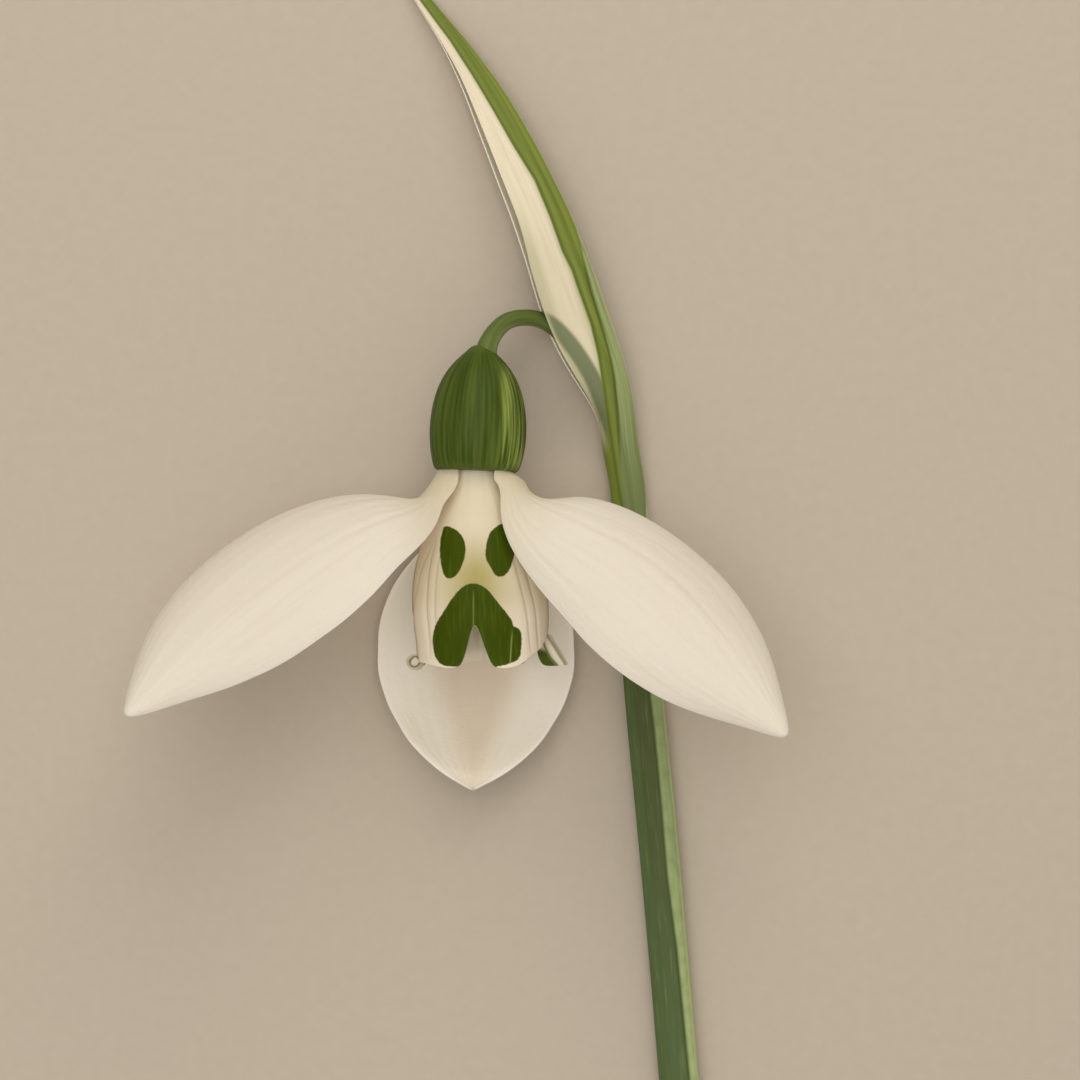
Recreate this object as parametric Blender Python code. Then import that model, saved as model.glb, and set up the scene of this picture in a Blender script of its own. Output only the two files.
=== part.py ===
# A cut snowdrop flower lying on its back: a leafless stem, the sheathing bract (spathe) at its
# top, the thin arched stalk of the flower, the ovary, three long outer petals, a bell of three
# short inner petals, six stamens and a style.
# Lengths are in millimetres and are turned into metres as each mesh or curve is made.
# X runs across the flower, Y from the cut end of the stem towards the tip of the spathe, and Z
# up from the table that it lies on. The flower's own origin is the middle of the ovary's base.

from math import cos, pi, radians, sin

import bmesh
import bpy
import numpy
from mathutils import Matrix, Vector

MM = 0.001
GAP = 0.3

# The flower's axis: its height over the table and how far it leans towards the stem
AXIS_HEIGHT = 6.4
AXIS_LEAN = 2.0

# Outer petals: three, spread wide from the rim under the ovary
OUTER_THICKNESS = 0.5
OUTER_ROWS = 20
OUTER_COLUMNS = 9
OUTER_CLAW_RADIUS = 2.45
OUTER_CUP = [(0.0, 25.0), (0.12, 32.0), (0.3, 42.0), (0.6, 46.0), (1.0, 60.0)]

# Inner petals: one bell, parted in three. Distance below the ovary, radius of the outer face
BELL_PROFILE = [(0.0, 1.55), (1.2, 1.85), (2.6, 2.5), (4.0, 3.3), (5.3, 3.95), (8.0, 4.5),
                (10.5, 4.6), (12.0, 4.6), (13.6, 4.9)]
INNER_THICKNESS = 0.4
INNER_START = 0.45
INNER_LENGTH = 13.3
INNER_FRONT_HALF_ANGLE = 66.0
INNER_PARTING = 0.4
INNER_ROWS = 12
INNER_COLUMNS = 11
NOTCH_DEPTH = 3.4
NOTCH_HALF_ANGLE = 13.0

# Ovary: distance from its base, radius
OVARY_PROFILE = [(0.0, 0.0), (0.0, 2.6), (0.25, 2.95), (1.2, 3.15), (2.6, 3.26), (4.2, 3.15),
                 (5.8, 2.75), (7.0, 2.1), (7.8, 1.35), (8.1, 0.9), (8.1, 0.0)]
OVARY_DROOP = 3.0

# Stamen: distance below the ovary, radius (a thin filament, then the pointed anther)
STAMEN_PROFILE = [(0.0, 0.0), (0.0, 0.15), (1.1, 0.15), (1.5, 0.36), (2.3, 0.46), (4.2, 0.36),
                  (6.0, 0.16), (6.6, 0.0)]
STAMEN_COUNT = 6
STAMEN_CIRCLE = 0.8
STAMEN_SPLAY = 9.0
STYLE_PROFILE = [(0.0, 0.0), (0.0, 0.22), (7.4, 0.2), (8.6, 0.1), (8.9, 0.0)]
SLENDER_STEPS = 8
OVARY_STEPS = 20

# Stem (scape): centre line seen from above, radius across. It is flatter than it is wide
SCAPE_PATH = [(10.37, -0.75, 1.16), (10.75, -5.5, 1.24), (11.52, -15.8, 1.34), (12.2, -22.7, 1.37),
              (13.15, -33.0, 1.37), (13.88, -41.5, 1.39), (14.6, -49.5, 1.43), (15.25, -56.5, 1.47)]
SCAPE_FLATNESS = 0.84
SCAPE_RINGS = 17
SCAPE_SIDES = 12

# Flower stalk (pedicel): centre line X, Y, Z and radius, from inside the spathe to the ovary
PEDICEL_PATH = [(10.1, -0.4, 1.25, 0.54), (9.5, 2.0, 1.5, 0.54), (8.9, 3.9, 1.72, 0.54),
                (8.1, 5.9, 2.05, 0.54), (7.35, 7.3, 2.25, 0.54), (6.45, 8.6, 2.42, 0.54),
                (5.45, 9.7, 2.58, 0.54), (4.4, 10.35, 2.75, 0.55), (3.3, 10.5, 3.4, 0.56),
                (2.2, 10.25, 4.4, 0.57), (1.4, 9.6, 5.2, 0.6), (0.87, 8.64, 5.85, 0.65)]
PEDICEL_RINGS = 22
PEDICEL_SIDES = 8

# Spathe: centre line X, Y, height of its underside over the table, half width, depth
SPATHE_PATH = [(10.25, -0.3, 0.05, 1.28, 2.45), (9.6, 3.8, 0.35, 1.4, 2.5), (8.75, 6.3, 0.75, 1.7, 2.7),
               (7.05, 10.2, 1.05, 2.12, 2.85), (5.38, 15.0, 1.2, 2.05, 2.8), (3.34, 20.0, 1.1, 1.8, 2.35),
               (1.02, 25.0, 0.85, 1.4, 1.85), (-1.88, 30.0, 0.4, 0.75, 1.1),
               (-4.3, 33.4, 0.1, 0.42, 0.65), (-5.6, 35.4, 0.02, 0.2, 0.4)]
SPATHE_THICKNESS = 0.35
SPATHE_ROWS = 22
# Its section, a flat C open to the left: across and up, as parts of half width and depth
SPATHE_SECTION = [(-0.95, 1.02), (-0.4, 1.0), (0.2, 0.95), (0.66, 1.0), (0.93, 0.68),
                  (1.0, 0.42), (0.8, 0.1), (0.2, 0.0), (-0.45, 0.03), (-1.0, 0.16)]
SPATHE_LOWEST = 7


# Curves through given values

def spline(knots, values, at):
    """Natural cubic spline through values at knots, worked out at the given places."""
    knots = numpy.asarray(knots, float)
    values = numpy.asarray(values, float)
    at = numpy.asarray(at, float)
    count = len(knots)
    step = numpy.diff(knots)
    slope = (numpy.diff(values, axis=0).T / step).T
    matrix = numpy.eye(count)
    right = numpy.zeros_like(values)
    for i in range(1, count - 1):
        matrix[i, i - 1] = step[i - 1]
        matrix[i, i] = 2.0 * (step[i - 1] + step[i])
        matrix[i, i + 1] = step[i]
        right[i] = 6.0 * (slope[i] - slope[i - 1])
    bend = numpy.linalg.solve(matrix, right)
    place = numpy.clip(numpy.searchsorted(knots, at) - 1, 0, count - 2)
    width = step[place]
    after = (at - knots[place]) / width
    before = 1.0 - after
    if values.ndim > 1:
        after = after[:, None]
        before = before[:, None]
        width = width[:, None]
    curve = (before ** 3 - before) * bend[place] + (after ** 3 - after) * bend[place + 1]
    return before * values[place] + after * values[place + 1] + curve * width ** 2 / 6.0


def along(table, at):
    """Spline through a table whose first column is the place and whose rest is the value."""
    table = numpy.asarray(table, float)
    values = table[:, 1] if table.shape[1] == 2 else table[:, 1:]
    return spline(table[:, 0], values, at)


def unit(vectors):
    return vectors / numpy.linalg.norm(vectors, axis=-1, keepdims=True)


# Objects from points

def material(name, colour, roughness):
    made = bpy.data.materials.new(name)
    made.use_nodes = True
    shader = made.node_tree.nodes["Principled BSDF"]
    shader.inputs["Base Color"].default_value = (*colour, 1.0)
    shader.inputs["Roughness"].default_value = roughness
    shader.inputs["Metallic"].default_value = 0.0
    return made


def place(name, data, look, parent, location=(0.0, 0.0, 0.0)):
    made = bpy.data.objects.new(name, data)
    bpy.context.collection.objects.link(made)
    made.data.materials.append(look)
    made.parent = parent
    made.location = Vector(location) * MM
    return made


def empty(name, parent=None, location=(0.0, 0.0, 0.0)):
    made = bpy.data.objects.new(name, None)
    bpy.context.collection.objects.link(made)
    made.parent = parent
    made.location = Vector(location) * MM
    return made


def sheet(name, points, look, parent, thickness, location=(0.0, 0.0, 0.0)):
    """A curved sheet: points[row][column] lie on its outer face, and it is thickened inwards."""
    points = numpy.asarray(points)
    rows, columns = points.shape[:2]
    mesh = bpy.data.meshes.new(name)
    grid = bmesh.new()
    bmesh.ops.create_grid(grid, x_segments=columns - 1, y_segments=rows - 1, size=1.0)
    grid.verts.ensure_lookup_table()
    for index, vertex in enumerate(grid.verts):
        row, column = divmod(index, columns)
        vertex.co = Vector(points[row, column]) * MM
    for face in grid.faces:
        face.smooth = True
    grid.to_mesh(mesh)
    grid.free()
    made = place(name, mesh, look, parent, location)
    skin = made.modifiers.new("Thickness", "SOLIDIFY")
    skin.thickness = thickness * MM
    skin.offset = -1.0
    return made


def turned(name, profile, look, parent, steps):
    """A solid turned about its own Z axis. The profile lists places along Z and radii."""
    mesh = bpy.data.meshes.new(name)
    body = bmesh.new()
    points = [body.verts.new((radius * MM, 0.0, height * MM)) for height, radius in profile]
    edges = [body.edges.new(pair) for pair in zip(points, points[1:])]
    bmesh.ops.spin(body, geom=points + edges, cent=(0.0, 0.0, 0.0), axis=(0.0, 0.0, 1.0),
                   angle=2.0 * pi, steps=steps, use_merge=True)
    bmesh.ops.remove_doubles(body, verts=body.verts, dist=0.01 * MM)
    bmesh.ops.recalc_face_normals(body, faces=body.faces)
    body.to_mesh(mesh)
    body.free()
    mesh.shade_smooth()
    mesh.set_sharp_from_angle(angle=radians(50.0))
    return place(name, mesh, look, parent)


def tube(name, points, radii, look, parent, sides):
    """A round stalk along points, with its own radius at each and closed ends."""
    curve = bpy.data.curves.new(name, "CURVE")
    curve.dimensions = "3D"
    curve.bevel_depth = MM
    curve.bevel_resolution = sides // 4 - 1
    curve.use_fill_caps = True
    line = curve.splines.new("POLY")
    line.points.add(len(points) - 1)
    for knot, centre, radius in zip(line.points, points, radii):
        knot.co = (*(Vector(centre) * MM), 1.0)
        knot.radius = radius
    return place(name, curve, look, parent)


# The flower's petals

def outer_surface(side, midrib, widths, roll):
    """Outer face of an outer petal, around its midrib. Roll leans the face about the midrib."""
    reach = numpy.linspace(0.0, 1.0, OUTER_ROWS)
    middle = along(midrib, reach)
    forward = unit(numpy.gradient(middle, reach, axis=0))
    up = numpy.array([0.0, 0.0, 1.0])
    up = unit(up - (forward @ up)[:, None] * forward)
    inward = numpy.cross(up, forward) * side
    lean = numpy.radians(along(roll, reach))[:, None]
    outward = numpy.cos(lean) * up + numpy.sin(lean) * inward
    across = numpy.cross(forward, outward)
    half = along(widths, reach)[:, None, None]
    cup = numpy.radians(along(OUTER_CUP, reach))[:, None, None]
    turn = numpy.linspace(-1.0, 1.0, OUTER_COLUMNS)[None, :, None] * cup
    sideways = across[:, None, :] * half * numpy.sin(turn) / cup
    depth = outward[:, None, :] * half * (numpy.cos(turn) - 1.0) / cup
    return middle[:, None, :] + sideways + depth


def outer_petal(name, flower, look, side, midrib, widths, roll):
    points = outer_surface(side, midrib, widths, roll)
    base = points[0, OUTER_COLUMNS // 2]
    return sheet(name, points - base, look, flower, OUTER_THICKNESS, base)


def outer_petals(flower, look):
    claw_side = OUTER_CLAW_RADIUS * cos(radians(30.0))
    claw_front = AXIS_HEIGHT + OUTER_CLAW_RADIUS * sin(radians(30.0))
    left_midrib = [(0.0, -claw_side, -GAP, claw_front), (0.1, -2.8, -1.3, 8.6),
                   (0.24, -4.2, -2.2, 10.5), (0.48, -9.2, -3.5, 12.3),
                   (0.75, -17.5, -9.5, 13.9), (1.0, -22.7, -16.1, 15.2)]
    left_widths = [(0.0, 0.8), (0.08, 1.3), (0.16, 1.45), (0.26, 3.0), (0.4, 5.2), (0.55, 6.5),
                   (0.7, 6.2), (0.84, 4.3), (0.94, 2.2), (1.0, 0.5)]
    left_roll = [(0.0, -50.0), (0.2, -58.0), (0.5, -48.0), (1.0, -24.0)]
    outer_petal("outer_petal_left", flower, look, 1, left_midrib, left_widths, left_roll)
    right_midrib = [(0.0, claw_side, -GAP, claw_front), (0.1, 2.5, -0.6, 8.0),
                    (0.24, 3.6, -2.4, 10.0), (0.48, 9.3, -6.0, 12.1),
                    (0.75, 15.4, -11.5, 13.9), (1.0, 20.4, -17.5, 15.2)]
    right_widths = [(0.0, 0.85), (0.08, 1.3), (0.16, 1.25), (0.26, 2.65), (0.4, 4.6), (0.55, 5.7),
                    (0.7, 5.45), (0.84, 3.8), (0.94, 1.9), (1.0, 0.5)]
    right_roll = [(0.0, -70.0), (0.2, -30.0), (0.5, -26.0), (1.0, -9.0)]
    outer_petal("outer_petal_right", flower, look, -1, right_midrib, right_widths, right_roll)
    back_midrib = [(0.0, 0.0, -INNER_START, AXIS_HEIGHT - OUTER_CLAW_RADIUS), (0.1, 0.0, -2.3, 2.3),
                   (0.24, -0.1, -5.6, 0.75), (0.48, -0.1, -11.5, 0.1), (0.75, -0.2, -17.6, 0.9),
                   (1.0, -0.3, -21.8, 4.4)]
    back_widths = [(0.0, 0.9), (0.08, 1.4), (0.16, 2.5), (0.26, 4.9), (0.4, 7.2), (0.5, 7.6),
                   (0.6, 7.4), (0.7, 6.5), (0.79, 5.4), (0.87, 4.0), (0.94, 2.3), (1.0, 0.5)]
    back_roll = [(0.0, 180.0), (0.5, 180.0), (1.0, 180.0)]
    outer_petal("outer_petal_back", flower, look, 1, back_midrib, back_widths, back_roll)


def inner_petal(name, flower, look, middle_angle, half_angle):
    """One third of the bell, with two lobes and a notch between them at its free edge."""
    rows = numpy.linspace(0.0, 1.0, INNER_ROWS)
    points = numpy.zeros((INNER_ROWS, INNER_COLUMNS, 3))
    for column, share in enumerate(numpy.linspace(-1.0, 1.0, INNER_COLUMNS)):
        notch = max(0.0, 1.0 - abs(share * half_angle) / NOTCH_HALF_ANGLE) * NOTCH_DEPTH
        below = INNER_START + rows * (INNER_LENGTH - notch - INNER_START)
        radius = along(BELL_PROFILE, below)
        parting = numpy.degrees(INNER_PARTING / 2.0 / radius)
        bearing = numpy.radians(middle_angle + share * (half_angle - parting))
        points[:, column, 0] = radius * numpy.cos(bearing)
        points[:, column, 1] = -below
        points[:, column, 2] = radius * numpy.sin(bearing)
    base = points[0, INNER_COLUMNS // 2]
    return sheet(name, points - base, look, flower, INNER_THICKNESS, base)


def inner_petals(flower, look):
    side_half = (180.0 - INNER_FRONT_HALF_ANGLE) / 2.0
    turn = INNER_FRONT_HALF_ANGLE + side_half
    inner_petal("inner_petal_front", flower, look, 90.0, INNER_FRONT_HALF_ANGLE)
    inner_petal("inner_petal_left", flower, look, 90.0 + turn, side_half)
    inner_petal("inner_petal_right", flower, look, 90.0 - turn, side_half)


# What the bell holds, and the ovary over it

def stamens(flower, look):
    for number in range(STAMEN_COUNT):
        bearing = 2.0 * pi * (number + 0.5) / STAMEN_COUNT
        made = turned(f"stamen_{number + 1}", STAMEN_PROFILE, look, flower, SLENDER_STEPS)
        splay = Matrix.Rotation(radians(STAMEN_SPLAY), 4, "Y")
        down = Matrix.Rotation(pi / 2.0, 4, "X")
        foot = Vector((cos(bearing) * STAMEN_CIRCLE, -GAP, sin(bearing) * STAMEN_CIRCLE)) * MM
        made.matrix_local = Matrix.Translation(foot) @ down @ Matrix.Rotation(bearing, 4, "Z") @ splay


def style(flower, look):
    made = turned("style", STYLE_PROFILE, look, flower, SLENDER_STEPS)
    made.location = Vector((0.0, -GAP, 0.0)) * MM
    made.rotation_euler = (pi / 2.0, 0.0, 0.0)


def ovary(flower, look):
    made = turned("ovary", OVARY_PROFILE, look, flower, OVARY_STEPS)
    made.rotation_euler = (-pi / 2.0 - radians(OVARY_DROOP), 0.0, 0.0)


# The stem, the flower's stalk and the spathe

def scape(root, look):
    knots = numpy.linspace(0.0, 1.0, len(SCAPE_PATH))
    line = spline(knots, SCAPE_PATH, numpy.linspace(0.0, 1.0, SCAPE_RINGS))
    points = [(x, y, radius) for x, y, radius in line]
    made = tube("scape", points, line[:, 2], look, root, SCAPE_SIDES)
    made.scale = (1.0, 1.0, SCAPE_FLATNESS)


def pedicel(root, look):
    knots = numpy.linspace(0.0, 1.0, len(PEDICEL_PATH))
    line = spline(knots, PEDICEL_PATH, numpy.linspace(0.0, 1.0, PEDICEL_RINGS))
    tube("pedicel", line[:, :3], line[:, 3], look, root, PEDICEL_SIDES)


def spathe(root, look):
    knots = numpy.linspace(0.0, 1.0, len(SPATHE_PATH))
    rows = spline(knots, SPATHE_PATH, numpy.linspace(0.0, 1.0, SPATHE_ROWS))
    heading = unit(numpy.gradient(rows[:, :2], axis=0))
    points = numpy.zeros((len(rows), len(SPATHE_SECTION), 3))
    for row, (x, y, under, half_width, depth) in enumerate(rows):
        right = (heading[row, 1], -heading[row, 0])
        for column, (across, up) in enumerate(SPATHE_SECTION):
            points[row, column, 0] = x + right[0] * across * half_width
            points[row, column, 1] = y + right[1] * across * half_width
            points[row, column, 2] = under + up * depth
    base = points[0, SPATHE_LOWEST].copy()
    sheet("spathe", points - base, look, root, SPATHE_THICKNESS, base)


def bounds(root):
    """Lowest and highest corner of everything under the root."""
    bpy.context.view_layer.update()
    graph = bpy.context.evaluated_depsgraph_get()
    corners = []
    for item in root.children_recursive:
        if item.type == "EMPTY":
            continue
        shape = item.evaluated_get(graph)
        mesh = shape.to_mesh()
        corners += [shape.matrix_world @ vertex.co for vertex in mesh.vertices]
        shape.to_mesh_clear()
    corners = numpy.array(corners)
    return corners.min(axis=0), corners.max(axis=0)


def build():
    for item in list(bpy.data.objects):
        bpy.data.objects.remove(item, do_unlink=True)
    white = material("outer_petal_white", (0.80, 0.76, 0.68), 0.42)
    marked = material("inner_petal_white_and_green", (0.62, 0.62, 0.42), 0.45)
    green = material("ovary_green", (0.06, 0.10, 0.016), 0.38)
    stalk = material("stalk_green", (0.11, 0.14, 0.035), 0.45)
    stem = material("scape_green", (0.17, 0.22, 0.10), 0.5)
    sheath = material("spathe_membrane_and_keel", (0.55, 0.53, 0.36), 0.5)
    pollen = material("anther_yellow", (0.72, 0.38, 0.07), 0.6)
    pale = material("style_pale", (0.72, 0.74, 0.48), 0.5)
    root = empty("snowdrop")
    flower = empty("flower", root)
    flower.rotation_euler = (0.0, 0.0, -radians(AXIS_LEAN))
    axis = empty("flower_axis", flower, (0.0, 0.0, AXIS_HEIGHT))
    outer_petals(root, white)
    inner_petals(axis, marked)
    stamens(axis, pollen)
    style(axis, pale)
    ovary(axis, green)
    scape(root, stem)
    pedicel(root, stalk)
    spathe(root, sheath)
    low, high = bounds(root)
    root.location = (-(low[0] + high[0]) / 2.0, -(low[1] + high[1]) / 2.0, -low[2])


build()
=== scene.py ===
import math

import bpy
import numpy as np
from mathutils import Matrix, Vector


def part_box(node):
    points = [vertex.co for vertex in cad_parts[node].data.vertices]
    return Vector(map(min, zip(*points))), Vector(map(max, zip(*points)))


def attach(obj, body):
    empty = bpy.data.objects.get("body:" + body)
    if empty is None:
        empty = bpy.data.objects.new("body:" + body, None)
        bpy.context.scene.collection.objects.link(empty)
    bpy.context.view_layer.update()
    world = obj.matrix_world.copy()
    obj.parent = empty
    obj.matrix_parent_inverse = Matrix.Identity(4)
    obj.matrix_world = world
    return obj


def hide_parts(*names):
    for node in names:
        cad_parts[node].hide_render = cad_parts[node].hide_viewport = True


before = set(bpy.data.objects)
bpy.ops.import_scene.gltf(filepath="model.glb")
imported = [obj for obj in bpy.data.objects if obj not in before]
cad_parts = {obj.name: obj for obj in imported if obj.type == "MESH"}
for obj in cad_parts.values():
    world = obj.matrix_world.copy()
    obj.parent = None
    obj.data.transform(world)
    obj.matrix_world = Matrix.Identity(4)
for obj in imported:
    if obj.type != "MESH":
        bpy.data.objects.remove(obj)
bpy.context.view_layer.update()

# A picked snowdrop lying on its back on a pale table.
# Shapes are worked out in millimetres from the middle of the ovary's base: x across the flower,
# y towards the tip of the spathe, z up from the table. flowerToWorld turns them into metres.

styleLow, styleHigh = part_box("style")
styleRadius = 0.21
styleDrop = 0.29                                    # the style starts just under the ovary
flowerOrigin = np.array([styleHigh[0] * 1000.0 - styleRadius, styleHigh[1] * 1000.0 + styleDrop, 0.0])
axisHeight = (styleLow[2] + styleHigh[2]) * 500.0   # the flower's axis over the table


# curves and small sums

def splineThrough(knots, values, at):               # natural cubic spline
    knots = np.asarray(knots, float)
    values = np.asarray(values, float)
    at = np.asarray(at, float)
    count = len(knots)
    step = np.diff(knots)
    slope = (np.diff(values, axis=0).T / step).T
    matrix = np.eye(count)
    right = np.zeros_like(values)
    for i in range(1, count - 1):
        matrix[i, i - 1] = step[i - 1]
        matrix[i, i] = 2.0 * (step[i - 1] + step[i])
        matrix[i, i + 1] = step[i]
        right[i] = 6.0 * (slope[i] - slope[i - 1])
    bend = np.linalg.solve(matrix, right)
    place = np.clip(np.searchsorted(knots, at) - 1, 0, count - 2)
    width = step[place]
    after = (at - knots[place]) / width
    before = 1.0 - after
    if values.ndim > 1:
        after, before, width = after[..., None], before[..., None], width[..., None]
    curve = (before ** 3 - before) * bend[place] + (after ** 3 - after) * bend[place + 1]
    return before * values[place] + after * values[place + 1] + curve * width ** 2 / 6.0


def fromTable(table, at):                           # first column is the place
    table = np.asarray(table, float)
    return splineThrough(table[:, 0], table[:, 1] if table.shape[1] == 2 else table[:, 1:], at)


def unit(vectors):
    return vectors / np.maximum(np.linalg.norm(vectors, axis=-1, keepdims=True), 1e-9)


def smoothStep(low, high, value):
    share = np.clip((value - low) / (high - low), 0.0, 1.0)
    return share * share * (3.0 - 2.0 * share)


def between(value, rise, fall):                     # up over the first pair, down again over the second
    return smoothStep(*rise, value) * (1.0 - smoothStep(*fall, value))


def ridge(value, width):                            # 1 in the middle, fading to both sides
    return np.exp(-(value / width) ** 2)


def ripple(x, y, seed):                             # smooth, repeatable unevenness between -1 and 1
    dice = np.random.default_rng(seed)
    total = np.zeros(np.broadcast(x, y).shape)
    for octave in range(5):
        turn, phase, pitch = dice.uniform(0.0, 2.0 * math.pi, 3)
        size = 1.0 + octave * 0.7
        total = total + np.sin(size * (x * math.cos(turn) + y * math.sin(turn)) + phase + pitch) / 5.0
    return total


# meshes from grids of points

def flowerToWorld(points):
    return (np.asarray(points) + flowerOrigin) * 0.001


def surfaceNormals(points):
    alongColumns = np.gradient(points, axis=1)
    alongRows = np.gradient(points, axis=0)
    return unit(np.cross(alongColumns, alongRows))


def meshPiece(name, vertices, faces, uvs, masks, look, nodes):
    mesh = bpy.data.meshes.new(name)
    mesh.from_pydata(flowerToWorld(vertices).tolist(), [], faces)
    layer = mesh.uv_layers.new(name="surfaceMap")
    loopVertices = np.zeros(len(mesh.loops), dtype=np.int32)
    mesh.loops.foreach_get("vertex_index", loopVertices)
    layer.data.foreach_set("uv", np.asarray(uvs, np.float32)[loopVertices].ravel())
    for maskName, values in masks.items():
        attribute = mesh.attributes.new(maskName, "FLOAT", "POINT")
        attribute.data.foreach_set("value", np.asarray(values, np.float32).ravel())
    mesh.materials.append(look)
    mesh.validate()
    mesh.shade_smooth()
    piece = bpy.data.objects.new(name, mesh)
    bpy.context.collection.objects.link(piece)
    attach(piece, "root")
    if nodes:
        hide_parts(*nodes)
    return piece


def gridFaces(rows, columns, start=0, wrap=False, flip=False):
    lastColumn = columns if wrap else columns - 1
    row, column = np.meshgrid(np.arange(rows - 1), np.arange(lastColumn), indexing="ij")
    nextColumn = (column + 1) % columns
    corners = [row * columns + column, row * columns + nextColumn,
               (row + 1) * columns + nextColumn, (row + 1) * columns + column]
    quads = np.stack(corners, axis=-1).reshape(-1, 4) + start
    return quads[:, ::-1] if flip else quads


def sheetPiece(name, outer, thickness, masks, look, node):
    # a closed thin sheet: the outer face, the inner face under it, and the rim between them
    rows, columns = outer.shape[:2]
    inner = outer - surfaceNormals(outer) * thickness[..., None]
    count = rows * columns
    vertices = np.concatenate([outer.reshape(-1, 3), inner.reshape(-1, 3)])
    rim = np.concatenate([np.arange(columns), np.arange(1, rows) * columns + columns - 1,
                          (rows - 1) * columns + np.arange(columns - 2, -1, -1),
                          np.arange(rows - 2, 0, -1) * columns])
    ahead = np.roll(rim, -1)
    rimFaces = np.stack([rim, rim + count, ahead + count, ahead], axis=-1)
    faces = np.concatenate([gridFaces(rows, columns), gridFaces(rows, columns, count, flip=True), rimFaces])
    v, u = np.meshgrid(np.linspace(0.0, 1.0, rows), np.linspace(0.0, 1.0, columns), indexing="ij")
    uv = np.stack([u, v], axis=-1).reshape(-1, 2)
    spread = {key: np.broadcast_to(value, (rows, columns)).ravel() for key, value in masks.items()}
    allMasks = {key: np.concatenate([value, value]) for key, value in spread.items()}
    allMasks["innerFace"] = np.concatenate([np.zeros(count), np.ones(count)])
    doubled = np.concatenate([uv, uv])
    return meshPiece(name, vertices, faces.tolist(), doubled, allMasks, look, [node])


def closedTube(name, rings, masks, look, nodes):
    # rings of points, closed round and capped at both ends
    rows, columns = rings.shape[:2]
    ends = np.stack([rings[0].mean(axis=0), rings[-1].mean(axis=0)])
    vertices = np.concatenate([rings.reshape(-1, 3), ends])
    faces = gridFaces(rows, columns, wrap=True).tolist()
    last = (rows - 1) * columns
    for column in range(columns):
        beside = (column + 1) % columns
        faces.append([beside, column, rows * columns])
        faces.append([last + column, last + beside, rows * columns + 1])
    v, u = np.meshgrid(np.linspace(0.0, 1.0, rows), np.arange(columns) / columns, indexing="ij")
    uv = np.concatenate([np.stack([u, v], axis=-1).reshape(-1, 2), [[0.5, 0.0], [0.5, 1.0]]])
    allMasks = {key: np.concatenate([value.ravel(), [value[0].mean(), value[-1].mean()]])
                for key, value in masks.items()}
    return meshPiece(name, vertices, faces, uv, allMasks, look, nodes)


def fullTurn(columns):                              # bearings once round, as one row
    return (np.arange(columns) / columns * 2.0 * math.pi)[None, :]


def besidePath(line, rightwards, across, lift):     # points across a path on the table, at their heights
    return np.stack([line[:, 0:1] + rightwards[:, 0:1] * across,
                     line[:, 1:2] + rightwards[:, 1:2] * across, lift], axis=-1)


def sweep(path, radii, columns, section):
    # rings of points round a path; section(angle, along) gives how far out each point lies
    rows = len(path)
    forward = unit(np.gradient(path, axis=0))
    sideways = np.zeros_like(path)
    sideways[0] = unit(np.cross(forward[0], [0.0, 0.0, 1.0]))
    for row in range(1, rows):
        carried = sideways[row - 1] - forward[row] * np.dot(sideways[row - 1], forward[row])
        sideways[row] = unit(carried)
    upwards = np.cross(sideways, forward)
    angle = fullTurn(columns)
    out = section(angle, np.linspace(0.0, 1.0, rows)[:, None]) * radii[:, None]
    return (path[:, None, :] + sideways[:, None, :] * (np.cos(angle) * out)[..., None]
            + upwards[:, None, :] * (np.sin(angle) * out)[..., None])


# materials

def hexToLinear(text):
    channels = [int(text[i:i + 2], 16) / 255.0 for i in (1, 3, 5)]
    linear = [c / 12.92 if c <= 0.04045 else ((c + 0.055) / 1.055) ** 2.4 for c in channels]
    return (*linear, 1.0)


def addNode(tree, kind, inputs=None, **settings):
    node = tree.nodes.new(kind)
    for key, value in settings.items():
        setattr(node, key, value)
    for key, value in (inputs or {}).items():
        if isinstance(value, bpy.types.NodeSocket):
            tree.links.new(value, node.inputs[key])
        else:
            node.inputs[key].default_value = value
    return node


def startMaterial(name, **shaderValues):
    look = bpy.data.materials.new(name)
    look.use_nodes = True
    tree = look.node_tree
    shader = tree.nodes["Principled BSDF"]
    for key, value in shaderValues.items():
        shader.inputs[key.replace("_", " ")].default_value = value
    uv = addNode(tree, "ShaderNodeUVMap", uv_map="surfaceMap").outputs[0]
    return look, tree, shader, uv


def mixColour(tree, factor, first, second):         # the factor is a socket or the name of a mask
    factor = maskNamed(tree, factor) if isinstance(factor, str) else factor
    first, second = [hexToLinear(one) if isinstance(one, str) else one for one in (first, second)]
    return addNode(tree, "ShaderNodeMix", {0: factor, 6: first, 7: second}, data_type="RGBA").outputs[2]


def product(tree, first, second):                   # the second is a socket, a number or the name of a mask
    second = maskNamed(tree, second) if isinstance(second, str) else second
    return addNode(tree, "ShaderNodeMath", {0: first, 1: second}, operation="MULTIPLY").outputs[0]


def softMask(tree, value, low, high):
    return addNode(tree, "ShaderNodeMapRange", {"Value": value, "From Min": low, "From Max": high},
                   interpolation_type="SMOOTHSTEP").outputs[0]


def maskNamed(tree, name):
    return addNode(tree, "ShaderNodeAttribute", attribute_name=name).outputs["Fac"]


def alongPiece(tree, uv):
    return addNode(tree, "ShaderNodeSeparateXYZ", {0: uv}).outputs[1]


def speckle(tree, vector, scale, detail):
    noise = addNode(tree, "ShaderNodeTexNoise", {"Vector": vector, "Scale": scale, "Detail": detail})
    return noise.outputs["Fac"]


def streaks(tree, uv, across, along, detail=3.0):
    # noise drawn out lengthwise: across and along are how many grains fit the piece each way
    stretched = addNode(tree, "ShaderNodeMapping", {"Vector": uv, "Scale": (across, along, 1.0)}).outputs[0]
    return speckle(tree, stretched, 1.0, detail)


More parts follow.
